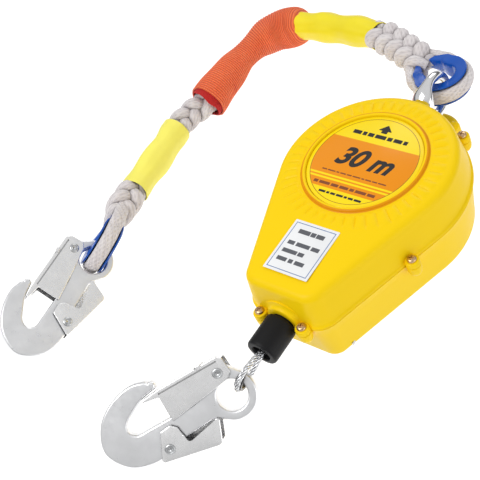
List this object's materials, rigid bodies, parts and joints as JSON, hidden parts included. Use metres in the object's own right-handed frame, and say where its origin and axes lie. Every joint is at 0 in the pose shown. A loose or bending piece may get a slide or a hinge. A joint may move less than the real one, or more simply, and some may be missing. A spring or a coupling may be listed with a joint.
{
  "type": "self retracting lifeline",
  "caption": "Fall-arrest block: teardrop casing, wire rope on a spring drum with inertia brake, snap hook with bumper, swivel eye and shock-absorbing anchor lanyard with a second snap hook.",
  "frame": {"origin": "the casing's flat back face, on the centre line of its round end, 14 mm above the drum axis", "axes": "+Z out of the casing's front (label) face; +Y from the casing towards the swivel eye; -Y along the paid-out wire rope"},
  "size_m": [0.3902, 0.5377, 0.093],
  "materials": {
    "casing_yellow": "moulded, semi-gloss",
    "label_print": "printed film, yellow and orange bands",
    "sticker_white": "matte printed paper sticker",
    "screw_brass": "turned, lightly tarnished",
    "zinc_steel": "zinc plated",
    "swivel_steel": "polished plating",
    "spring_steel": "oiled dark steel",
    "friction_lining": "pressed friction compound",
    "nylon": "moulded",
    "black_rubber": "matte moulded",
    "wire_steel": "galvanised strands",
    "drum_aluminium": "machined",
    "hook_steel": "forged, satin zinc",
    "gate_steel": "stamped sheet, satin",
    "rivet_steel": "peened",
    "thimble_blue": "moulded",
    "rope_grey": "braided polyamide",
    "shrink_yellow": "heat-shrink tube",
    "absorber_orange": "ribbed woven cover",
    "webbing_white": "folded tear webbing"
  },
  "bodies": {
    "housing": {"front_cover": "casing_yellow", "back_cover": "casing_yellow", "round_label": "label_print", "inspection_sticker": "sticker_white", "cover_screw_1": "screw_brass", "cover_screw_2": "screw_brass", "cover_screw_3": "screw_brass", "cover_screw_4": "screw_brass", "cover_screw_5": "screw_brass", "cover_screw_6": "screw_brass", "frame_plate_back": "zinc_steel", "frame_plate_front": "zinc_steel", "frame_post_1": "zinc_steel", "frame_post_2": "zinc_steel", "swivel_bracket": "zinc_steel", "shaft_bush_back": "screw_brass", "shaft_bush_front": "screw_brass", "spring_case": "zinc_steel", "spring_case_lid": "zinc_steel", "power_spring": "spring_steel", "brake_clamp_ring": "zinc_steel", "brake_lining_inner": "friction_lining", "brake_lining_outer": "friction_lining", "rope_guide": "nylon", "outlet_bush": "black_rubber", "wire_rope_lead": "wire_steel"},
    "brake": {"ratchet_ring": "spring_steel"},
    "drum": {"rope_drum": "drum_aluminium", "main_shaft": "spring_steel", "wire_rope_coil": "wire_steel", "pawl_pin_1": "zinc_steel", "pawl_pin_2": "zinc_steel"},
    "pawl_a": {"pawl_1": "spring_steel"},
    "pawl_b": {"pawl_2": "spring_steel"},
    "cable": {"wire_rope_line": "wire_steel", "wire_thimble": "wire_steel", "rope_ferrule": "drum_aluminium", "rubber_stopper": "black_rubber"},
    "line_hook": {"line_hook_body": "hook_steel", "line_gate_rivet": "rivet_steel", "line_lever_rivet": "rivet_steel"},
    "line_gate": {"line_hook_gate": "gate_steel"},
    "line_lever": {"line_hook_lever": "gate_steel"},
    "swivel": {"swivel_eye": "swivel_steel", "swivel_nut": "zinc_steel"},
    "lanyard_upper": {"thimble_upper": "thimble_blue", "rope_upper": "rope_grey", "shrink_sleeve_upper": "shrink_yellow"},
    "lanyard_middle": {"absorber_sleeve": "absorber_orange", "absorber_core": "webbing_white"},
    "lanyard_lower": {"rope_lower": "rope_grey", "thimble_lower": "thimble_blue", "shrink_sleeve_lower": "shrink_yellow"},
    "anchor_hook": {"anchor_hook_body": "hook_steel", "anchor_gate_rivet": "rivet_steel", "anchor_lever_rivet": "rivet_steel"},
    "anchor_gate": {"anchor_hook_gate": "gate_steel"},
    "anchor_lever": {"anchor_hook_lever": "gate_steel"}
  },
  "joints": [
    {"name": "rope_payout", "type": "slide", "parent": "housing", "child": "cable", "axis": [0, -1, 0], "range_m": [0, 0.0394]},
    {"name": "drum_turn", "type": "hinge", "parent": "housing", "child": "drum", "pos_m": [0, -0.014, 0.046], "axis": [0, 0, 1], "range_deg": [-30, 0]},
    {"name": "brake_slip", "type": "hinge", "parent": "housing", "child": "brake", "pos_m": [0, -0.014, 0.0777], "axis": [0, 0, 1], "continuous": true},
    {"name": "pawl_a_swing", "type": "hinge", "parent": "drum", "child": "pawl_a", "pos_m": [0.036, -0.014, 0.0777], "axis": [0, 0, 1], "range_deg": [0, 16]},
    {"name": "pawl_b_swing", "type": "hinge", "parent": "drum", "child": "pawl_b", "pos_m": [-0.036, -0.014, 0.0777], "axis": [0, 0, 1], "range_deg": [0, 16]},
    {"name": "swivel_turn", "type": "hinge", "parent": "housing", "child": "swivel", "pos_m": [0, 0.09, 0.06], "axis": [0, 1, 0], "continuous": true},
    {"name": "lanyard_swing", "type": "hinge", "parent": "swivel", "child": "lanyard_upper", "pos_m": [0, 0.132, 0.06], "axis": [0, 0, 1], "range_deg": [-60, 8]},
    {"name": "absorber_bend", "type": "hinge", "parent": "lanyard_upper", "child": "lanyard_middle", "pos_m": [-0.236, 0.198, 0.025], "axis": [0, 0, 1], "range_deg": [-20, 8]},
    {"name": "rope_bend", "type": "hinge", "parent": "lanyard_middle", "child": "lanyard_lower", "pos_m": [-0.272, 0.072, 0.02], "axis": [0, 0, -1], "range_deg": [-8, 18]},
    {"name": "anchor_hook_swing", "type": "hinge", "parent": "lanyard_lower", "child": "anchor_hook", "pos_m": [-0.246, -0.16, 0.031], "axis": [0.7036, 0.0707, 0.7071], "range_deg": [-25, 25]},
    {"name": "anchor_lever_squeeze", "type": "hinge", "parent": "anchor_hook", "child": "anchor_lever", "pos_m": [-0.22989, -0.22622, 0.02159], "axis": [0.7036, 0.0707, 0.7071], "range_deg": [0, 12]},
    {"name": "anchor_gate_open", "type": "hinge", "parent": "anchor_hook", "child": "anchor_gate", "pos_m": [-0.26124, -0.16254, 0.04641], "axis": [0.7036, 0.0707, 0.7071], "range_deg": [0, 18]},
    {"name": "line_hook_swing", "type": "hinge", "parent": "cable", "child": "line_hook", "pos_m": [-0.0049, -0.22779, 0.04528], "axis": [0.5117, -0.4953, 0.702], "range_deg": [-25, 25]},
    {"name": "line_lever_squeeze", "type": "hinge", "parent": "line_hook", "child": "line_lever", "pos_m": [-0.03726, -0.28595, 0.02783], "axis": [0.5117, -0.4953, 0.702], "range_deg": [0, 12]},
    {"name": "line_gate_open", "type": "hinge", "parent": "line_hook", "child": "line_gate", "pos_m": [-0.0189, -0.22074, 0.06046], "axis": [0.5117, -0.4953, 0.702], "range_deg": [0, 18]}
  ],
  "couplings": [
    {"joint": "drum_turn", "follows": "rope_payout", "rad_per_m": -13.28},
    {"joint": "pawl_b_swing", "follows": "pawl_a_swing", "ratio": 1},
    {"joint": "anchor_gate_open", "follows": "anchor_lever_squeeze", "ratio": 1.5},
    {"joint": "line_gate_open", "follows": "line_lever_squeeze", "ratio": 1.5}
  ]
}
